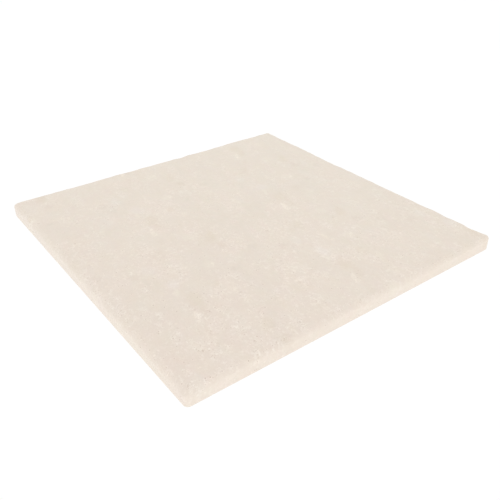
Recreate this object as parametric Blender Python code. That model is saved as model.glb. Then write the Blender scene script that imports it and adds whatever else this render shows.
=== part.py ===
"""Square bench slab of natural stone for leather tooling.

The slab is one monolithic piece of stone, sawn to a flat plate and honed on
its working face.  Its four upright corners are eased to a small plan radius,
the rim of the working face is rounded over so that it can't mark leather
lying across it, and the rim of the underside keeps only a fine arris.  It
lies flat on its whole underside and has no feet, backing, fixings or moving
parts.

Frame: metres, +Z up, origin at the centre of the underside, X and Y along
the two equal sides of the square.

Run with: blender --background --python part.py, or from the Text Editor.
"""

import math

import bmesh
import bpy

# ---- driving dimensions (metres) ------------------------------------------
SIDE = 0.3048           # both plan sides of the square, 12 in
THICKNESS = 0.0127      # sawn thickness, 1/2 in
CORNER_RADIUS = 0.0038  # plan radius of the four upright corners
RIM_RADIUS = 0.0034     # round-over along the rim of the working face
ARRIS_RADIUS = 0.0008   # fine arris along the rim of the underside

# ---- faceting --------------------------------------------------------------
CORNER_SEGMENTS = 10    # facets round each upright corner
RIM_SEGMENTS = 6        # facets across the round-over
ARRIS_SEGMENTS = 2      # facets across the fine arris
SMOOTH_ANGLE = math.radians(30)

# ---- finish ----------------------------------------------------------------
STONE_COLOUR = (0.80, 0.72, 0.63, 1.0)   # warm cream, linear
STONE_ROUGHNESS = 0.55                   # honed, not polished

FLAT = 1e-6             # two heights closer than this are level


def clear_scene():
    """Remove every object of the current file, and the meshes they leave."""
    for obj in list(bpy.data.objects):
        bpy.data.objects.remove(obj, do_unlink=True)
    for mesh in list(bpy.data.meshes):
        if not mesh.users:
            bpy.data.meshes.remove(mesh)


def stone_material():
    """Honed cream stone: dielectric, with a soft sheen."""
    material = bpy.data.materials.new("honed_cream_stone")
    material.use_nodes = True
    bsdf = material.node_tree.nodes["Principled BSDF"]
    bsdf.inputs["Base Color"].default_value = STONE_COLOUR
    bsdf.inputs["Roughness"].default_value = STONE_ROUGHNESS
    bsdf.inputs["Metallic"].default_value = 0.0
    material.diffuse_color = STONE_COLOUR
    material.roughness = STONE_ROUGHNESS
    return material


def upright_edges(bm):
    """The block's four corner edges, which run along Z."""
    return [
        edge for edge in bm.edges
        if abs(edge.verts[0].co.z - edge.verts[1].co.z) > THICKNESS / 2
    ]


def rim_edges(bm, height):
    """The closed loop of edges where the sides meet the face at this height."""
    return [
        edge for edge in bm.edges
        if all(abs(vert.co.z - height) < FLAT for vert in edge.verts)
    ]


def round_over(bm, edges, radius, segments):
    """Replace these edges with an arc of this radius."""
    bmesh.ops.bevel(
        bm,
        geom=edges,
        offset=radius,
        offset_type="OFFSET",
        segments=segments,
        profile=0.5,
        affect="EDGES",
        clamp_overlap=True,
    )


def slab_mesh():
    """A block with eased upright corners, a round top rim and a fine arris."""
    bm = bmesh.new()
    bmesh.ops.create_cube(bm, size=1.0)
    bmesh.ops.scale(bm, vec=(SIDE, SIDE, THICKNESS), verts=bm.verts)
    bmesh.ops.translate(bm, vec=(0.0, 0.0, THICKNESS / 2), verts=bm.verts)

    # the upright corners come first, so that both rims run round them
    # without a mitre
    round_over(bm, upright_edges(bm), CORNER_RADIUS, CORNER_SEGMENTS)
    round_over(bm, rim_edges(bm, THICKNESS), RIM_RADIUS, RIM_SEGMENTS)
    round_over(bm, rim_edges(bm, 0.0), ARRIS_RADIUS, ARRIS_SEGMENTS)
    bmesh.ops.recalc_face_normals(bm, faces=bm.faces)

    mesh = bpy.data.meshes.new("stone_slab")
    bm.to_mesh(mesh)
    bm.free()
    mesh.shade_smooth()
    mesh.set_sharp_from_angle(angle=SMOOTH_ANGLE)
    return mesh


def build():
    clear_scene()
    slab = bpy.data.objects.new("stone_slab", slab_mesh())
    slab.data.materials.append(stone_material())
    bpy.context.scene.collection.objects.link(slab)
    return slab


build()
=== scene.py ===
import math
import random

import bpy
import numpy as np
from mathutils import Matrix, Vector, noise
from mathutils.geometry import delaunay_2d_cdt


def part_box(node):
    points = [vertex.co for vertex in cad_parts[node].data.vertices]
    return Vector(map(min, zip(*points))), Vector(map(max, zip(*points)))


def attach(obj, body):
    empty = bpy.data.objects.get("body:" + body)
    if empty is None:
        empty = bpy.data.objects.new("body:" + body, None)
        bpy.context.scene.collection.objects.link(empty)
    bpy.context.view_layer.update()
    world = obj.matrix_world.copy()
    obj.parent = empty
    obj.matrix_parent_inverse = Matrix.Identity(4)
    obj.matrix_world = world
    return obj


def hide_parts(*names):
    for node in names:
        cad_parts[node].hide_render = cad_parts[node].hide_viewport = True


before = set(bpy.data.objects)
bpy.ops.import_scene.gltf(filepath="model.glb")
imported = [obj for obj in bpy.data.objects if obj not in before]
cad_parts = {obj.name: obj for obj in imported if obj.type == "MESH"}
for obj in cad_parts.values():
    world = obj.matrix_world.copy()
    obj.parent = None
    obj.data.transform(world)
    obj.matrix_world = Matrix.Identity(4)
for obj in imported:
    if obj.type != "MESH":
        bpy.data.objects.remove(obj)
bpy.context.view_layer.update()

MM = 0.001
LO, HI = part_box("stone_slab")
SIDE = HI[0] - LO[0]
HALF = SIDE / 2
MIDDLE = ((LO[0] + HI[0]) / 2, (LO[1] + HI[1]) / 2)
BOTTOM, TOP = LO[2], HI[2]

scene = bpy.context.scene
scene.view_settings.view_transform = "Standard"
scene.view_settings.look = "None"


# =============================================================================
# Camera
# =============================================================================
AZIMUTH, ELEVATION = math.radians(-36.9974), math.radians(32.0680)
FOCAL_PX = 602.886                         # for an image 500 px wide
AIM_X, AIM_Y, DISTANCE = -0.02777, 0.091098, 1.764498      # in slab sides

back = Vector((
    math.sin(AZIMUTH) * math.cos(ELEVATION),
    -math.cos(AZIMUTH) * math.cos(ELEVATION),
    math.sin(ELEVATION),
))
right = Vector((math.cos(AZIMUTH), math.sin(AZIMUTH), 0.0))
up = back.cross(right)
camera_data = bpy.data.cameras.new("camera")
camera = bpy.data.objects.new("camera", camera_data)
scene.collection.objects.link(camera)
camera_data.sensor_width = 36.0
camera_data.lens = FOCAL_PX / 500.0 * 36.0
camera_data.clip_start, camera_data.clip_end = 0.01, 50.0
camera.location = Vector((*MIDDLE, TOP)) + (-AIM_X * right - AIM_Y * up + DISTANCE * back) * SIDE
camera.rotation_euler = Matrix((right, up, back)).transposed().to_euler()
scene.camera = camera


# =============================================================================
# The slab's surface: an outline walked round the four sides, a cross profile
# carried along it, and two flat faces closed inside it
# =============================================================================
CORNER = 3.8 * MM          # plan radius of the upright corners, as the CAD
RIM_IN = 3.7 * MM          # how far the eased upper rim reaches over the face
RIM_DROP = 4.1 * MM        # and how far it reaches down the side
RIM_CURVE = 1.75            # 2 is a round section, 1 a plain chamfer: rubbed down by hand, it lies between
ARRIS = 0.8 * MM           # eased lower edge
BORDER = 9.0 * MM          # where the band ends and the flat faces begin
COARSE, FINE = 1.05 * MM, 0.34 * MM    # steps along the outline

PITCH = 125.64             # mm: the stone's markings repeat on a square layout
BEDDING = math.radians(15) # the layout and the bedding lie askew to the sides


def rough(p, size, seed):
    """Smooth noise in -1..1 with features about `size` metres across."""
    return noise.noise(Vector((p[0] / size + seed * 17.3, p[1] / size - seed * 9.1, p[2] / size + seed * 5.7)))


def corner_radius(inset):
    """Plan radius of the ring at this inset. It shrinks over the rim and opens again over the face."""
    i = inset / MM
    return (CORNER / MM - 0.9 * i + 0.13 * i * i) * MM


EDGE_RUN = 2 * (HALF - CORNER)
TURN_RUN = math.pi / 2 * CORNER
SIDE_RUN = EDGE_RUN + TURN_RUN
AROUND = 4 * SIDE_RUN


def place_on_outline(run):
    """(edge, on_a_corner, t) for a distance along the outline, from the -X end of the -Y side, anticlockwise."""
    edge = int(run // SIDE_RUN) % 4
    along = run - SIDE_RUN * (run // SIDE_RUN)
    if along < EDGE_RUN:
        return edge, False, along / EDGE_RUN * 2 - 1
    return edge, True, (along - EDGE_RUN) / TURN_RUN


def ring_point(column, inset):
    """Plan position of a column of the band at this inset, and the outward direction there."""
    edge, turning, t = column
    r, h = corner_radius(inset), HALF - inset
    if turning:
        a = t * math.pi / 2
        x, y, nx, ny = h - r + r * math.sin(a), -h + r - r * math.cos(a), math.sin(a), -math.cos(a)
    else:
        x, y, nx, ny = t * (h - r), -h, 0.0, -1.0
    for _ in range(edge):
        x, y, nx, ny = -y, x, -ny, nx
    return x, y, nx, ny


# ---- chips: shallow conchoidal scoops knocked out of the rim and the lower edge
FRONT_RIGHT, RIGHT_BACK, BACK, LEFT = 0, 1, 2, 3        # the -Y, +X, +Y and -X sides


def run_at(edge, along_mm):
    """Distance along the outline to a point this far from the middle of a side."""
    return edge * SIDE_RUN + EDGE_RUN / 2 + along_mm * MM


# the left and right corners kept their edges: little easing, no random chips
CRISP_CORNERS = [LEFT * SIDE_RUN - TURN_RUN / 2, RIGHT_BACK * SIDE_RUN - TURN_RUN / 2]


# (side, mm from its middle, level, sphere radius mm, depth mm, stretch along the edge)
# On the -X side the outline runs towards -Y, so a positive distance there is nearer the front corner.
KNOWN_CHIPS = [
    (LEFT, -112, "rim", 3.4, 0.60, 1.5),
    (LEFT, -101, "rim", 2.4, 0.40, 1.2),
    (LEFT, -109, "foot", 1.0, 0.20, 1.5),
    (LEFT, 51, "foot", 1.1, 0.22, 1.4),
    (LEFT, 33, "rim", 2.6, 0.40, 1.6),
    (LEFT, 128, "rim", 2.4, 0.45, 1.3),
    (FRONT_RIGHT, -149, "rim", 2.0, 0.35, 1.2),
    (FRONT_RIGHT, -133, "foot", 1.2, 0.24, 1.4),
    (FRONT_RIGHT, -57, "foot", 1.3, 0.30, 1.4),
    (FRONT_RIGHT, -51, "foot", 1.1, 0.24, 1.2),
    (FRONT_RIGHT, -44, "foot", 1.0, 0.20, 1.3),
    (FRONT_RIGHT, -14, "foot", 1.2, 0.26, 1.4),
    (FRONT_RIGHT, 94, "foot", 1.3, 0.28, 1.5),
    (FRONT_RIGHT, 116, "foot", 1.1, 0.24, 1.4),
    (FRONT_RIGHT, 106, "rim", 2.4, 0.35, 1.5),
    (FRONT_RIGHT, 89, "rim", 2.2, 0.32, 1.4),
    (FRONT_RIGHT, 139, "rim", 2.6, 0.42, 1.3),
]

dice = random.Random(2207)
chips = []
for side, along, level, radius, depth, stretch in KNOWN_CHIPS:
    chips.append((run_at(side, along), level, radius * MM, depth * MM, stretch))
for k in range(70):
    level = "rim" if dice.random() < 0.88 else "foot"
    size = dice.random() ** 2.2
    radius = (1.0 + 2.4 * size) if level == "rim" else (0.6 + 0.5 * size)
    depth = (0.12 + 0.34 * size) if level == "rim" else (0.09 + 0.12 * size)
    run = dice.uniform(0, AROUND)
    if all(abs(run - corner) > 14 * MM for corner in CRISP_CORNERS) and all(abs(run - c[0]) > 6 * MM for c in chips):
        chips.append((run, level, radius * MM, depth * MM, dice.uniform(1.0, 1.9)))


def step_at(run):
    """Fine steps round the corners and over the chips, coarse ones between."""
    step = COARSE
    _, turning, _ = place_on_outline(run % AROUND)
    if turning:
        step = 0.42 * MM
    for centre, _, radius, depth, stretch in chips:
        reach = (math.sqrt(2 * radius * depth) + 0.3 * MM) * stretch
        gap = abs((run - centre + AROUND / 2) % AROUND - AROUND / 2)
        if gap < reach + COARSE:
            step = min(step, FINE)
    return step


columns, runs = [], []
run = 0.0
while run < AROUND - 0.25 * MM:
    columns.append(place_on_outline(run))
    runs.append(run)
    run += step_at(run)
COLUMNS = len(columns)


def rim_point(a, rim_in, rim_drop):
    """(inset, drop, outward share, upward share) of the eased rim's section at the angle a, from 0 on the side to a right angle on the face."""
    u, v = max(0.0, math.cos(a)) ** (2 / RIM_CURVE), math.sin(a) ** (2 / RIM_CURVE)
    n = Vector((u ** (RIM_CURVE - 1) / rim_in, v ** (RIM_CURVE - 1) / rim_drop)).normalized()
    return rim_in * (1 - u), rim_drop * (1 - v), n.x, n.y


def cross_profile(rim_in, rim_drop):
    """(inset, height, outward share, upward share, wear) from the top face's border, over the rim, down the side, to the underside's border."""
    rows = [(BORDER, TOP, 0.0, 1.0, 0.0), (7.5 * MM, TOP, 0.0, 1.0, 0.0), (6.3 * MM, TOP, 0.0, 1.0, 0.0)]
    steps = 16
    for k in range(steps + 1):
        a = math.radians(90 * (1 - k / steps))
        inset, drop, out, rise = rim_point(a, rim_in, rim_drop)
        rows.append((inset, TOP - drop, out, rise, math.sin(2 * a)))
    side_top, side_foot = TOP - rim_drop, BOTTOM + ARRIS
    for share in (0.13, 0.27, 0.41, 0.54, 0.66, 0.76, 0.84, 0.90, 0.955):
        rows.append((0.0, side_top + (side_foot - side_top) * share, 1.0, 0.0, 0.0))
    for k in range(6):
        a = math.radians(90 * k / 5)
        rows.append((ARRIS * (1 - math.cos(a)), BOTTOM + ARRIS * (1 - math.sin(a)), math.cos(a), -math.sin(a), 0.6 * math.sin(2 * a)))
    for inset in (1.25, 1.9, 2.9, 4.4, 6.4):
        rows.append((inset * MM, BOTTOM, 0.0, -1.0, 0.0))
    rows.append((BORDER, BOTTOM, 0.0, -1.0, 0.0))
    return rows


ROWS = len(cross_profile(RIM_IN, RIM_DROP))
points = np.zeros((COLUMNS, ROWS, 3))
outward = np.zeros((COLUMNS, ROWS, 3))
wear = np.zeros((COLUMNS, ROWS))
chipped = np.zeros((COLUMNS, ROWS))
under = np.zeros((COLUMNS, ROWS))
shoulder = np.zeros((COLUMNS, ROWS))

for c, column in enumerate(columns):
    ox, oy, _, _ = ring_point(column, 0.0)
    here = (ox, oy, 0.0)
    # the easing was rubbed in by hand, so its width wanders
    wander = 1 + 0.34 * rough(here, 26 * MM, 1) + 0.38 * rough(here, 8.5 * MM, 2)
    sag = 1 + 0.26 * rough(here, 34 * MM, 3) + 0.15 * rough(here, 10 * MM, 4)
    crisp = 1 - 0.34 * sum(math.exp(-(((runs[c] - corner) / (11 * MM)) ** 2)) for corner in CRISP_CORNERS)
    rim_in = min(max(RIM_IN * wander, 2.4 * MM), 5.6 * MM) * crisp
    rim_drop = min(max(RIM_DROP * sag, 2.7 * MM), 5.4 * MM) * crisp
    for r, (inset, z, out, rise, worn) in enumerate(cross_profile(rim_in, rim_drop)):
        x, y, nx, ny = ring_point(column, inset)
        p = Vector((x, y, z))
        n = Vector((nx * out, ny * out, rise))
        eased = 3 <= r < ROWS - 7
        dip = 0.0
        if eased:
            # the sides are ground and then worn: never quite flat, and always inside the outline
            dip = 0.040 * MM * max(0.0, rough(p, 21 * MM, 5) + 0.15) + 0.010 * MM * max(0.0, rough(p, 5.2 * MM, 6))
            if z > TOP - rim_drop:
                hollow = max(0.0, rough(p, 6.4 * MM, 8) + 0.05)
                dip += worn * (0.20 * MM * hollow + 0.04 * MM * max(0.0, rough(p, 1.9 * MM, 7)))
            dip *= min(1.0, (r - 3) / 3.0)
        p -= n * dip
        points[c, r] = p
        outward[c, r] = n
        wear[c, r] = worn
        under[c, r] = 1.0 if r >= ROWS - 7 else 0.0
        if z > TOP - rim_drop:
            shoulder[c, r] = max(0.0, 1.0 - abs(inset - 0.75 * rim_in) / (2.2 * MM))

# scoop the chips out of the band
flat = points.reshape(-1, 3)
flat_chip = chipped.reshape(-1)
for k, (centre, level, radius, depth, stretch) in enumerate(chips):
    column = place_on_outline(centre % AROUND)
    _, _, nx, ny = ring_point(column, 0.0)
    if level == "rim":
        a = math.radians(46)
        inset, drop, _, _ = rim_point(a, RIM_IN, RIM_DROP)
        x, y, _, _ = ring_point(column, inset)
        z = TOP - drop
        n = Vector((nx * 0.66, ny * 0.66, 0.75)).normalized()
    else:
        x, y, _, _ = ring_point(column, ARRIS * 0.2)
        z = BOTTOM + ARRIS * 0.35
        n = Vector((nx * 0.86, ny * 0.86, -0.5)).normalized()
    along = Vector((-ny, nx, 0.0))
    centre_point = Vector((x, y, z)) + n * (radius - depth)
    d = flat - np.array(centre_point)
    near = np.nonzero((d * d).sum(1) < (radius * stretch * 1.3) ** 2)[0]
    axis, tangent = np.array(n), np.array(along)
    for i in near:
        v = d[i]
        t = v @ tangent
        v = v + tangent * (t / stretch - t)
        p = flat[i]
        r = radius * (1 + 0.05 * rough(p, 1.4 * MM, 11 + k) + 0.03 * rough(p, 0.6 * MM, 12 + k))
        m = v @ axis
        inside = m * m - (v @ v - r * r)
        if inside > 0:
            move = m + math.sqrt(inside)
            if 0 < move < 1.6 * depth + 0.4 * MM:
                flat[i] = p - axis * move
                flat_chip[i] = max(flat_chip[i], min(1.0, move / depth * 1.4))
flat[:, 0] = np.clip(flat[:, 0], -HALF, HALF)
flat[:, 1] = np.clip(flat[:, 1], -HALF, HALF)
flat[:, 2] = np.clip(flat[:, 2], BOTTOM, TOP)

# ---- pits: small open pores in the two broad faces
# Their places in one repeat of the markings, in mm: across the bedding, along it, radius, depth
REPEATED_PITS = [
    (78.7, 101.0, 0.72, 0.30), (81.2, 62.3, 0.62, 0.24), (49.1, 18.6, 0.52, 0.20),
    (60.6, 100.4, 0.36, 0.15), (21.0, 100.0, 0.40, 0.15), (46.6, 94.6, 0.40, 0.16),
    (43.5, 91.8, 0.34, 0.14), (62.0, 92.3, 0.32, 0.13), (95.6, 92.6, 0.44, 0.17),
    (118.6, 38.8, 0.34, 0.14), (34.0, 57.8, 0.32, 0.13), (113.8, 57.0, 0.30, 0.12),
    (88.6, 117.3, 0.32, 0.13), (70.0, 12.0, 0.30, 0.12), (8.5, 82.3, 0.34, 0.14),
]


def repeated_on_face(across, along, limit):
    """Every place on the face where one point of the repeat falls, as x, y in metres."""
    found = []
    for i in range(-3, 4):
        for j in range(-3, 4):
            s = across - 0.01 * PITCH + i * PITCH
            t = along - 0.03 * PITCH + j * PITCH
            x = (s * math.cos(BEDDING) + t * math.sin(BEDDING)) * MM
            y = (-s * math.sin(BEDDING) + t * math.cos(BEDDING)) * MM
            if abs(x) < limit and abs(y) < limit:
                found.append((x, y))
    return found


def scatter_pits(seed, repeated, count, clear):
    dice = random.Random(seed)
    limit = HALF - BORDER - 2.2 * MM
    pits = []
    if repeated:
        for across, along, radius, depth in REPEATED_PITS:
            for x, y in repeated_on_face(across, along, limit):
                pits.append((x, y, radius * MM, depth * MM))
    tries = 0
    while count > 0 and tries < 4000:
        tries += 1
        x, y = dice.uniform(-limit, limit), dice.uniform(-limit, limit)
        radius = (0.22 + 0.34 * dice.random() ** 3) * MM
        if noise.noise(Vector((x / 0.045, y / 0.045, seed))) < -0.05:
            continue                       # the pores keep to some beds and not others
        if all(math.hypot(x - p[0], y - p[1]) > clear + 2.2 * (p[2] + radius) for p in pits):
            pits.append((x, y, radius, radius * dice.uniform(0.35, 0.55)))
            count -= 1
    return pits


# rings of a pit as shares of its radius, and how deep each one lies
PIT_RINGS = [(1.30, 0.0), (1.0, 0.05), (0.80, 0.62), (0.52, 0.93), (0.24, 1.0)]


def face_mesh(border, height, down, pits, seed):
    """Triangles over one broad face. border holds the band's last ring as plan points.
    Returns the extra points, the triangles as indices (border first, then the extra points), and a pit value per extra point."""
    n = len(border)
    verts = [Vector((x, y)) for x, y in border]
    drop, pitted = [0.0] * n, [0.0] * n
    edges = [(i, (i + 1) % n) for i in range(n)]

    def clear_of_pits(x, y, margin):
        return all(math.hypot(x - p[0], y - p[1]) > p[2] * 1.3 + margin for p in pits)

    def add(x, y, d=0.0, v=0.0):
        verts.append(Vector((x, y)))
        drop.append(d)
        pitted.append(v)

    for inset, every in ((10.6 * MM, 2), (13.5 * MM, 5)):
        shrink = (HALF - inset) / (HALF - BORDER)
        for i in range(0, n, every):
            x, y = border[i][0] * shrink, border[i][1] * shrink
            if clear_of_pits(x, y, 0.4 * MM):
                add(x, y)
    gap = 9.0 * MM
    limit = HALF - 18 * MM
    dice = random.Random(seed)
    rows = int(2 * limit / gap)
    for j in range(rows + 1):
        for i in range(rows + 1):
            x = -limit + 2 * limit * i / rows + dice.uniform(-1, 1) * 1.6 * MM
            y = -limit + 2 * limit * j / rows + dice.uniform(-1, 1) * 1.6 * MM
            if clear_of_pits(x, y, 0.8 * MM):
                add(x, y)
    for k, (px, py, radius, depth) in enumerate(pits):
        stretch, lean = dice.uniform(1.0, 1.7), BEDDING + dice.uniform(-0.6, 0.6)
        spokes = 14 if radius > 0.6 * MM else 10
        phase = dice.uniform(0, 6.28)
        edge = [1 + 0.22 * noise.noise(Vector((math.cos(2 * math.pi * q / spokes) * 1.3, math.sin(2 * math.pi * q / spokes) * 1.3, 3.1 * k + seed))) for q in range(spokes)]
        for share, sunk in PIT_RINGS:
            for q in range(spokes):
                a = phase + 2 * math.pi * (q + 0.5 * (sunk > 0.9)) / spokes
                u = math.cos(a) * radius * share * edge[q] / math.sqrt(stretch)
                v = math.sin(a) * radius * share * edge[q] * math.sqrt(stretch)
                x = px + u * math.cos(lean) + v * math.sin(lean)
                y = py - u * math.sin(lean) + v * math.cos(lean)
                add(x, y, depth * sunk, min(1.0, sunk * 1.1))
        add(px, py, depth * 1.04, 1.0)

    out_verts, _, faces, orig, _, _ = delaunay_2d_cdt(verts, edges, [], 1, 1e-9, True)
    where = {}
    for new, olds in enumerate(orig):
        where[new] = min(olds) if olds else None
    if any(v is None for v in where.values()):
        raise RuntimeError("the face's triangles cross its border")
    extra = [(verts[i].x, verts[i].y, height + (drop[i] if down else -drop[i])) for i in range(n, len(verts))]
    triangles = []
    for f in faces:
        t = [where[i] for i in f]
        if len(set(t)) < 3:
            continue
        a, b, c = (verts[i] for i in t)
        turned = (b.x - a.x) * (c.y - a.y) - (b.y - a.y) * (c.x - a.x) < 0
        if turned != down:
            t.reverse()
        triangles.append(t)
    return extra, triangles, pitted[n:]


top_border = [(points[c, 0, 0], points[c, 0, 1]) for c in range(COLUMNS)]
foot_border = [(points[c, ROWS - 1, 0], points[c, ROWS - 1, 1]) for c in range(COLUMNS)]
top_extra, top_faces, top_pits = face_mesh(top_border, TOP, False, scatter_pits(31, True, 60, 2.0 * MM), 5)
foot_extra, foot_faces, foot_pits = face_mesh(foot_border, BOTTOM, True, scatter_pits(77, False, 70, 2.5 * MM), 9)

band = COLUMNS * ROWS
vertices = [tuple(v) for v in flat] + top_extra + foot_extra
top_from, foot_from = band, band + len(top_extra)

faces, island = [], []                     # island: 0 top, 1..4 the sides, 5 underside
RIM_MIDDLE = 3 + 8                         # the row where the top's map ends and a side's begins
FOOT_ROW = ROWS - 7
for c in range(COLUMNS):
    d = (c + 1) % COLUMNS
    for r in range(ROWS - 1):
        faces.append((c * ROWS + r, c * ROWS + r + 1, d * ROWS + r + 1, d * ROWS + r))
        island.append(0 if r < RIM_MIDDLE else (5 if r >= FOOT_ROW else 1 + columns[c][0]))
for t in top_faces:
    faces.append(tuple(i * ROWS if i < COLUMNS else top_from + i - COLUMNS for i in t))
    island.append(0)
for t in foot_faces:
    faces.append(tuple(i * ROWS + ROWS - 1 if i < COLUMNS else foot_from + i - COLUMNS for i in t))
    island.append(5)

mesh = bpy.data.meshes.new("slab_stone")
mesh.from_pydata([Vector(v) + Vector((*MIDDLE, 0.0)) for v in vertices], [], faces)
mesh.update()
mesh.shade_smooth()


def write_attribute(name, values):
    layer = mesh.attributes.new(name, "FLOAT", "POINT")
    layer.data.foreach_set("value", np.asarray(values, dtype=np.float32))


pads = [0.0] * len(top_extra), [0.0] * len(foot_extra)
write_attribute("pit", [0.0] * band + top_pits + foot_pits)
write_attribute("wear", list(wear.reshape(-1)) + pads[0] + pads[1])
write_attribute("shoulder", list(shoulder.reshape(-1)) + pads[0] + pads[1])
write_attribute("chip", list(flat_chip) + pads[0] + pads[1])
write_attribute("under", list(under.reshape(-1)) + pads[0] + [1.0] * len(foot_extra))
write_attribute("face", list(np.clip(outward[:, :, 2], 0, 1).reshape(-1)) + [1.0] * len(top_extra) + pads[1])

# ---- one map for the whole surface: the top, four side strips and the underside
uv = mesh.uv_layers.new(name="OFBake")
TOP_SPAN, FOOT_SPAN = 0.715, 0.255
SCALE = TOP_SPAN / SIDE
side_length = [0.0] * ROWS
for r in range(1, ROWS):
    side_length[r] = side_length[r - 1] + float(np.linalg.norm(points[COLUMNS // 8, r] - points[COLUMNS // 8, r - 1]))
coords = np.zeros((len(mesh.loops), 2))
starts = [p.loop_start for p in mesh.polygons]
corner_of = np.zeros(len(mesh.loops), dtype=np.int64)
mesh.loops.foreach_get("vertex_index", corner_of)
for p, where in zip(mesh.polygons, island):
    for k in range(p.loop_start, p.loop_start + p.loop_total):
        i = corner_of[k]
        x, y, _ = vertices[i]
        if where == 0:
            coords[k] = (0.008 + (x + HALF) * SCALE, 0.008 + (y + HALF) * SCALE)
        elif where == 5:
            coords[k] = (0.737 + (x + HALF) / SIDE * FOOT_SPAN, 0.008 + (y + HALF) / SIDE * FOOT_SPAN)
        else:
            c, r = divmod(int(i), ROWS)
            along = runs[c] - (where - 1) * SIDE_RUN
            if along < -SIDE_RUN:          # the last column's faces close on the first one
                along += AROUND
            coords[k] = (0.008 + along * SCALE, 0.735 + 0.062 * (where - 1) + (side_length[r] - side_length[RIM_MIDDLE]) * SCALE)
uv.data.foreach_set("uv", coords.reshape(-1).astype(np.float32))

slab = bpy.data.objects.new("slab_stone", mesh)
scene.collection.objects.link(slab)


# =============================================================================
# The stone
# =============================================================================
class Graph:
    """Short names for the shader nodes that the stone is made of."""

    def __init__(self, tree):
        self.tree = tree

    def node(self, kind, **settings):
        n = self.tree.nodes.new(kind)
        for key, value in settings.items():
            setattr(n, key, value)
        return n

    def plug(self, socket, value):
        if isinstance(value, bpy.types.NodeSocket):
            self.tree.links.new(value, socket)
        else:
            socket.default_value = value

    def math(self, operation, a, b=0.0, c=0.0, clamp=False):
        n = self.node("ShaderNodeMath", operation=operation, use_clamp=clamp)
        for socket, value in zip(n.inputs, (a, b, c)):
            self.plug(socket, value)
        return n.outputs[0]

    def vector(self, operation, a, b=(0, 0, 0), c=(0, 0, 0), scale=None):
        n = self.node("ShaderNodeVectorMath", operation=operation)
        for socket, value in zip(n.inputs, (a, b, c)):
            self.plug(socket, value)
        if scale is not None:
            self.plug(n.inputs["Scale"], scale)
        return n.outputs["Value"] if operation in ("LENGTH", "DOT_PRODUCT", "DISTANCE") else n.outputs[0]

    def mapping(self, kind, v, location=(0, 0, 0), rotation=(0, 0, 0), scale=(1, 1, 1)):
        n = self.node("ShaderNodeMapping", vector_type=kind)
        self.plug(n.inputs["Vector"], v)
        if kind != "VECTOR" and "Location" in n.inputs:
            n.inputs["Location"].default_value = location
        n.inputs["Rotation"].default_value = rotation
        n.inputs["Scale"].default_value = scale
        return n.outputs[0]

    def noise(self, v, size, detail=2.0, roughness=0.5, distortion=0.0, colour=False):
        """Noise with features about `size` in the coordinate's own unit; 0..1 round 0.5."""
        n = self.node("ShaderNodeTexNoise", noise_dimensions="3D")
        self.plug(n.inputs["Vector"], v)
        n.inputs["Scale"].default_value = 1.0 / size
        n.inputs["Detail"].default_value = detail
        n.inputs["Roughness"].default_value = roughness
        n.inputs["Distortion"].default_value = distortion
        return n.outputs["Color" if colour else 0]

    def signed(self, v, size, detail=2.0, roughness=0.5, distortion=0.0, gain=1.0):
        """The same noise, centred on 0."""
        return self.math("MULTIPLY_ADD", self.noise(v, size, detail, roughness, distortion), 2.0 * gain, -gain)

    def voronoi(self, v, size, feature="F1", randomness=1.0):
        n = self.node("ShaderNodeTexVoronoi", voronoi_dimensions="3D", feature=feature)
        self.plug(n.inputs["Vector"], v)
        n.inputs["Scale"].default_value = 1.0 / size
        n.inputs["Randomness"].default_value = randomness
        return n.outputs

    def ramp(self, value, low, high, to_low=0.0, to_high=1.0, smooth=True):
        n = self.node("ShaderNodeMapRange", interpolation_type="SMOOTHSTEP" if smooth else "LINEAR", clamp=True) if smooth else self.node("ShaderNodeMapRange", clamp=True)
        self.plug(n.inputs["Value"], value)
        for key, number in (("From Min", low), ("From Max", high), ("To Min", to_low), ("To Max", to_high)):
            self.plug(n.inputs[key], number)
        return n.outputs[0]

    def attribute(self, name):
        return self.node("ShaderNodeAttribute", attribute_name=name).outputs["Fac"]

    def tint(self, total, value, colour):
        """total + value * colour, as a vector."""
        return self.vector("MULTIPLY_ADD", value, colour, total)


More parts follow.
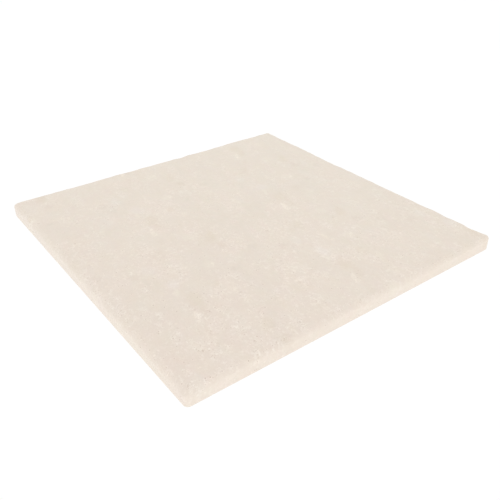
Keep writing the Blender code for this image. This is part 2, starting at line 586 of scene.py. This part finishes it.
# Soft markings in one repeat of the stone, in mm and percent of its tone:
# (across the bedding, along it, half width, half length, lean in degrees, (red, green, blue))
MARKINGS = [
    # brown-olive clouds
    (52.8, 30.2, 7.6, 11.5, 4, (-2.2, -2.8, -4.8)),
    (55.5, 15.5, 4.6, 8.5, 8, (-2.3, -3.3, -4.8)),
    (91.5, 109.5, 5.2, 10.5, 12, (-2.0, -2.4, -4.8)),
    (97.0, 92.5, 5.0, 6.0, 10, (-3.0, -3.8, -4.8)),
    (42.6, 101.5, 6.6, 6.4, 0, (-2.6, -3.1, -4.6)),
    (40.5, 94.5, 8.0, 3.6, -8, (-1.4, -1.9, -2.1)),
    (94.0, 57.0, 3.8, 3.4, -30, (-3.8, -3.4, -4.0)),
    (118.0, 83.0, 5.0, 5.0, 0, (-2.6, -2.7, -3.0)),
    (17.5, 72.5, 5.2, 6.5, 0, (-2.2, -3.1, -3.1)),
    (74.0, 43.0, 4.4, 6.0, 0, (-1.8, -2.6, -3.8)),
    (51.5, 118.0, 3.4, 7.0, 0, (-1.7, -2.4, -3.0)),
    (25.0, 64.0, 2.8, 8.0, 0, (-2.3, -1.3, -1.7)),
    (113.0, 54.0, 1.3, 12.0, 24, (-1.9, -1.9, -2.1)),
    # pale and cooler clouds
    (77.0, 69.0, 5.6, 7.0, 0, (2.6, 3.4, 3.0)),
    (44.5, 54.5, 7.2, 8.2, 0, (1.4, 2.8, 5.0)),
    (42.7, 44.0, 2.4, 7.0, 6, (3.0, 4.4, 4.0)),
    (30.0, 78.0, 5.6, 9.0, 0, (0.8, 2.2, 3.6)),
    (74.0, 116.5, 8.5, 7.0, 0, (2.1, 3.2, 2.9)),
    (83.0, 31.5, 3.4, 7.5, -8, (2.6, 3.5, 3.2)),
    (13.8, 39.0, 6.4, 11.0, 0, (0.4, 1.6, 2.3)),
    (97.0, 72.0, 8.0, 8.5, 0, (-0.4, 0.8, 1.2)),
]
# Hard white flecks of shell, same layout, broken up by the fleck noise
FLECKS = [
    (48.8, 12.0, 2.8, 6.6, 6, (7.5, 8.5, 8.5)),
    (48.8, 5.8, 3.4, 3.4, 0, (7.0, 8.0, 8.0)),
    (80.8, 69.3, 2.3, 4.0, 10, (6.5, 8.0, 8.0)),
    (57.0, 75.5, 1.9, 8.2, -6, (5.5, 6.5, 6.0)),
    (60.3, 68.0, 2.0, 3.0, 0, (4.5, 5.0, 4.8)),
    (7.5, 25.0, 3.0, 4.6, -20, (4.0, 4.6, 4.6)),
]
TONE = (0.776, 0.692, 0.602)               # the stone's own colour


def make_stone():
    material = bpy.data.materials.new("cream_stone")
    material.use_nodes = True
    tree = material.node_tree
    g = Graph(tree)
    shader = tree.nodes["Principled BSDF"]

    # solid coordinates in mm, turned to the bedding, and squeezed along it for the grain
    place = g.node("ShaderNodeTexCoord").outputs["Object"]
    mm = g.vector("SCALE", place, scale=1000.0)
    bed = g.mapping("POINT", mm, rotation=(0, 0, BEDDING))
    grain = g.mapping("POINT", bed, scale=(1.0, 0.62, 1.0))

    # edges of the clouds wander
    broad = g.vector("SUBTRACT", g.noise(grain, 9.0, 2.0, 0.6, colour=True), (0.5, 0.5, 0.5))
    close = g.vector("SUBTRACT", g.noise(grain, 2.2, 2.0, 0.6, colour=True), (0.5, 0.5, 0.5))
    wandered = g.vector("MULTIPLY_ADD", broad, (6.5, 8.0, 6.0), bed)
    wandered = g.vector("MULTIPLY_ADD", close, (2.4, 3.4, 2.4), wandered)

    # the repeat's own coordinates, and how deep below the working face
    cell = g.vector("FRACTION", g.vector("MULTIPLY_ADD", wandered, (1 / PITCH, 1 / PITCH, 0.0), (0.01, 0.03, 0.0)))
    cell = g.vector("SCALE", cell, scale=PITCH)
    apart = g.node("ShaderNodeSeparateXYZ")
    g.plug(apart.inputs[0], wandered)
    deep = g.math("SUBTRACT", apart.outputs[2], TOP / MM)
    shift = g.node("ShaderNodeCombineXYZ")
    g.plug(shift.inputs[2], deep)
    cell = g.vector("ADD", cell, shift.outputs[0])

    # shell hash: pale curved threads where a noise crosses its middle, broken into short arcs
    coarse = g.ramp(g.math("ABSOLUTE", g.signed(grain, 4.4, 1.0, 0.5, 0.8)), 0.19, 0.06)
    coarse = g.math("MULTIPLY", coarse, g.ramp(g.noise(bed, 2.9, 1.0), 0.51, 0.59))
    thread = g.signed(bed, 2.5, 1.5, 0.5, 0.9)
    pieces = g.ramp(g.noise(grain, 2.8, 1.0), 0.51, 0.58)
    fine = g.math("MULTIPLY", g.ramp(g.math("ABSOLUTE", thread), 0.17, 0.04), pieces)
    # and the dark gap that lies along one side of a thread, in dots
    gap = g.ramp(g.math("ABSOLUTE", g.math("SUBTRACT", thread, 0.30)), 0.14, 0.04)
    gap = g.math("MULTIPLY", g.math("MULTIPLY", gap, pieces), g.ramp(g.noise(mm, 1.2, 0.0), 0.48, 0.60))
    spiky = g.ramp(g.math("ABSOLUTE", g.signed(bed, 2.6, 2.0, 0.6, 1.4)), 0.17, 0.05)

    total = (1.0, 1.0, 1.0)
    for across, along, wide, long, lean, colour in MARKINGS:
        spot = g.mapping("TEXTURE", cell, (across, along, 0.0), (0, 0, -math.radians(lean)), (wide, long, 14.0))
        mark = g.ramp(g.vector("LENGTH", spot), 1.18, 0.35)
        total = g.tint(total, mark, tuple(0.01 * c for c in colour))
    broken = g.math("MULTIPLY_ADD", spiky, 1.20, 0.10)
    for across, along, wide, long, lean, colour in FLECKS:
        spot = g.mapping("TEXTURE", cell, (across, along, 0.0), (0, 0, -math.radians(lean)), (wide, long, 7.0))
        mark = g.math("MULTIPLY", g.ramp(g.vector("LENGTH", spot), 1.05, 0.45), broken)
        total = g.tint(total, mark, tuple(0.01 * c for c in colour))

    # clouds and grain that never repeat
    cloud = g.signed(grain, 34.0, 2.0, 0.5)
    patch = g.signed(grain, 10.0, 2.0, 0.55, 0.4)
    mottle = g.signed(grain, 3.2, 2.0, 0.6, 0.3)
    sand = g.signed(grain, 1.15, 2.0, 0.6)
    dust = g.signed(mm, 0.36, 2.0, 0.65)
    total = g.tint(total, cloud, (0.018, 0.023, 0.026))
    total = g.tint(total, patch, (0.021, 0.028, 0.035))
    total = g.tint(total, mottle, (0.026, 0.032, 0.037))
    # the stone is a little coarser towards the front corner
    coarser = g.math("ADD", g.vector("DOT_PRODUCT", mm, (-0.6 * 0.33 / 152.4, -0.8 * 0.33 / 152.4, 0.0)), 1.0)
    total = g.tint(total, g.math("MULTIPLY", sand, coarser), (0.018, 0.023, 0.028))
    total = g.tint(total, g.math("MULTIPLY", dust, coarser), (0.019, 0.026, 0.034))

    # hue: rosy against cool, olive against lavender. Then painted light, a slow shift of hue from the front left corner
    # to the far right one: on the top a painted sheen, paler and cooler at the far corner; on the sides a painted
    # warmer, brighter tint towards -Y
    total = g.tint(total, g.signed(grain, 19.0, 2.0, 0.5), (0.017, -0.004, -0.009))
    total = g.tint(total, g.signed(grain, 8.2, 1.5, 0.5, 0.3), (0.003, -0.013, 0.013))
    total = g.tint(total, g.signed(grain, 4.5, 1.0, 0.5), (0.010, -0.003, -0.007))
    # painted sheen: the top pales and cools towards the far right corner
    face = g.attribute("face")
    painted_light_drift = g.vector("DOT_PRODUCT", mm, (1 / 152.4, 1 / 152.4, 0.0))
    total = g.tint(total, g.math("MULTIPLY", painted_light_drift, face), (0.0026, 0.0102, 0.0088))
    # painted light: the sides are warmer and brighter towards -Y, darker and cooler towards +Y
    painted_light_drift = g.vector("DOT_PRODUCT", mm, (0.0, -1 / 152.4, 0.0))
    total = g.tint(total, g.math("MULTIPLY", painted_light_drift, g.math("SUBTRACT", 1.0, face)), (0.016, 0.012, 0.008))

    # little shells: broken rings in some of the cells
    warped = g.vector("MULTIPLY_ADD", close, (1.6, 1.6, 1.6), bed)
    shells = g.voronoi(warped, 5.2)
    ring = g.math("ABSOLUTE", g.math("SUBTRACT", shells["Distance"], 0.20))
    ring = g.ramp(ring, 0.055, 0.012)
    pick = g.node("ShaderNodeSeparateXYZ")
    g.plug(pick.inputs[0], shells["Color"])
    some = g.ramp(pick.outputs[0], 0.66, 0.74)
    broken_ring = g.ramp(g.noise(bed, 1.7, 1.0), 0.44, 0.58)
    shell = g.math("MULTIPLY", g.math("MULTIPLY", ring, some), broken_ring)
    total = g.tint(total, shell, (0.050, 0.056, 0.058))
    # the hash lies thick in some beds and thin in others
    thick = g.ramp(g.noise(grain, 17.0, 2.0, 0.55), 0.38, 0.60, 0.22, 1.0)
    thick = g.math("MULTIPLY", thick, g.math("MULTIPLY", coarser, g.math("MULTIPLY_ADD", g.attribute("face"), 0.5, 0.5)))
    total = g.tint(total, g.math("MULTIPLY", coarse, thick), (0.042, 0.053, 0.060))
    total = g.tint(total, g.math("MULTIPLY", fine, thick), (0.050, 0.064, 0.073))
    total = g.tint(total, g.math("MULTIPLY", gap, thick), (-0.092, -0.110, -0.124))
    # dark mud between the fragments
    mud = g.ramp(g.noise(bed, 1.5, 2.0, 0.6), 0.40, 0.28)
    total = g.tint(total, g.math("MULTIPLY", mud, thick), (-0.032, -0.040, -0.046))
    # dark specks, in a few of the cells: partly dark grains, partly painted shade for the little hollows where they
    # have plucked out
    specks = g.voronoi(bed, 2.7)
    pick = g.node("ShaderNodeSeparateXYZ")
    g.plug(pick.inputs[0], specks["Color"])
    dots = g.ramp(specks["Distance"], 0.24, 0.12)
    crowd = g.math("MULTIPLY_ADD", g.noise(grain, 11.0, 1.0), 0.95, g.math("MULTIPLY", coarser, 0.16))
    chosen = g.math("MULTIPLY", g.ramp(g.math("ADD", pick.outputs[1], crowd), 1.50, 1.62), coarser)
    # more of them have plucked out along the shoulder, where the face meets its worn rim
    shoulder = g.attribute("shoulder")
    plucked = g.math("MULTIPLY", g.ramp(g.math("ADD", pick.outputs[2], crowd), 1.00, 1.10), shoulder)
    chosen = g.math("MAXIMUM", chosen, plucked)
    speck_grain_and_shade = g.math("MULTIPLY", dots, chosen)
    total = g.tint(total, speck_grain_and_shade, (-0.14, -0.16, -0.17))
    # painted highlight: a pale ring round each chosen dark spot, as on the lit lip of a hollow
    painted_highlight_ring = g.ramp(g.math("ABSOLUTE", g.math("SUBTRACT", specks["Distance"], 0.36)), 0.12, 0.03)
    painted_highlight_ring = g.math("MULTIPLY", painted_highlight_ring, g.ramp(g.noise(bed, 1.3, 1.0), 0.46, 0.56))
    total = g.tint(total, g.math("MULTIPLY", painted_highlight_ring, chosen), (0.075, 0.080, 0.080))

    # pits are darker the deeper they go, partly a little dark dust and partly painted shade in the hollow; bruised
    # stone is chalky, the handled rim is faintly darker
    pit, chip, wear = g.attribute("pit"), g.attribute("chip"), g.attribute("wear")
    below = g.attribute("under")
    # painted shade in the pits, darkest at their bottoms, with some dust
    total = g.tint(total, pit, (-0.035, -0.045, -0.055))
    total = g.tint(total, g.math("MULTIPLY", chip, g.math("MULTIPLY_ADD", sand, 0.8, 0.8)), (0.016, 0.015, 0.012))
    total = g.tint(total, g.math("MULTIPLY", wear, g.noise(grain, 6.0, 2.0)), (-0.008, -0.008, -0.008))
    total = g.tint(total, below, (-0.030, -0.026, -0.020))

    colour = g.vector("MULTIPLY", total, TONE)
    tree.links.new(colour, shader.inputs["Base Color"])

    # honed: an even sheen, duller in the pits, chips and on the sawn underside
    rough_value = g.math("MULTIPLY_ADD", mottle, 0.09, 0.54)
    rough_value = g.math("MULTIPLY_ADD", sand, 0.10, rough_value)
    rough_value = g.math("MULTIPLY_ADD", pit, 0.25, rough_value)
    rough_value = g.math("MULTIPLY_ADD", chip, 0.18, rough_value)
    rough_value = g.math("MULTIPLY_ADD", shell, -0.10, rough_value)
    rough_value = g.math("MULTIPLY_ADD", below, 0.14, rough_value, clamp=True)
    tree.links.new(rough_value, shader.inputs["Roughness"])
    shader.inputs["IOR"].default_value = 1.49
    shader.inputs["Specular IOR Level"].default_value = 0.42

    # relief in mm: the tooth of the honed grain, specks that have plucked out, and wide saw arcs underneath
    relief = g.math("MULTIPLY", sand, 0.009)
    relief = g.math("MULTIPLY_ADD", dust, 0.005, relief)
    relief = g.math("MULTIPLY_ADD", speck_grain_and_shade, -0.035, relief)
    relief = g.math("MULTIPLY_ADD", shell, 0.006, relief)
    relief = g.math("MULTIPLY_ADD", g.math("MULTIPLY", chip, mottle), 0.05, relief)
    centre = g.vector("DISTANCE", g.vector("MULTIPLY", mm, (1.0, 1.0, 0.0)), (-420.0, -60.0, 0.0))
    arcs = g.math("SINE", g.math("MULTIPLY", g.math("ADD", centre, g.math("MULTIPLY", patch, 1.4)), 2.1))
    relief = g.math("MULTIPLY_ADD", g.math("MULTIPLY", arcs, below), 0.035, relief)
    bump = g.node("ShaderNodeBump")
    bump.inputs["Strength"].default_value = 0.8
    bump.inputs["Distance"].default_value = 0.001
    tree.links.new(relief, bump.inputs["Height"])
    tree.links.new(bump.outputs[0], shader.inputs["Normal"])
    return material


slab.data.materials.append(make_stone())
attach(slab, "root")
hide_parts("stone_slab")


# =============================================================================
# Studio: a pale floor that glows a little, as a lit sweep does, and an even dome of soft light
# =============================================================================
bpy.ops.mesh.primitive_plane_add(size=12.0, location=(*MIDDLE, BOTTOM - 0.05 * MM))
floor = bpy.context.object
floor.name = "floor"
paper = bpy.data.materials.new("floor_paper")
paper.use_nodes = True
tree = paper.node_tree
shader = tree.nodes["Principled BSDF"]
shader.inputs["Base Color"].default_value = (0.30, 0.30, 0.30, 1)
shader.inputs["Roughness"].default_value = 1.0
shader.inputs["Specular IOR Level"].default_value = 0.0
shader.inputs["Emission Color"].default_value = (0.995, 1.0, 1.02, 1)
shader.inputs["Emission Strength"].default_value = 0.845
# seen directly it is plain white paper, at exactly the white of the picture
seen = tree.nodes.new("ShaderNodeEmission")
seen.inputs["Strength"].default_value = 1.012
path, mix = tree.nodes.new("ShaderNodeLightPath"), tree.nodes.new("ShaderNodeMixShader")
tree.links.new(path.outputs["Is Camera Ray"], mix.inputs[0])
tree.links.new(shader.outputs[0], mix.inputs[1])
tree.links.new(seen.outputs[0], mix.inputs[2])
tree.links.new(mix.outputs[0], tree.nodes["Material Output"].inputs["Surface"])
floor.data.materials.append(paper)

world = bpy.data.worlds.new("studio")
scene.world = world
world.use_nodes = True
dome = world.node_tree.nodes["Background"]
dome.inputs["Color"].default_value = (1, 1, 1, 1)
dome.inputs["Strength"].default_value = 1.02


def soft_sun(name, azimuth, elevation, strength, angle, colour):
    data = bpy.data.lights.new(name, "SUN")
    data.energy, data.angle, data.color = strength, math.radians(angle), colour
    light = bpy.data.objects.new(name, data)
    scene.collection.objects.link(light)
    a, e = math.radians(azimuth), math.radians(elevation)
    direction = Vector((math.sin(a) * math.cos(e), -math.cos(a) * math.cos(e), math.sin(e)))
    light.rotation_euler = direction.to_track_quat("Z", "Y").to_euler()


soft_sun("fill_front", -52, 18, 0.16, 40, (0.96, 1.0, 1.04))
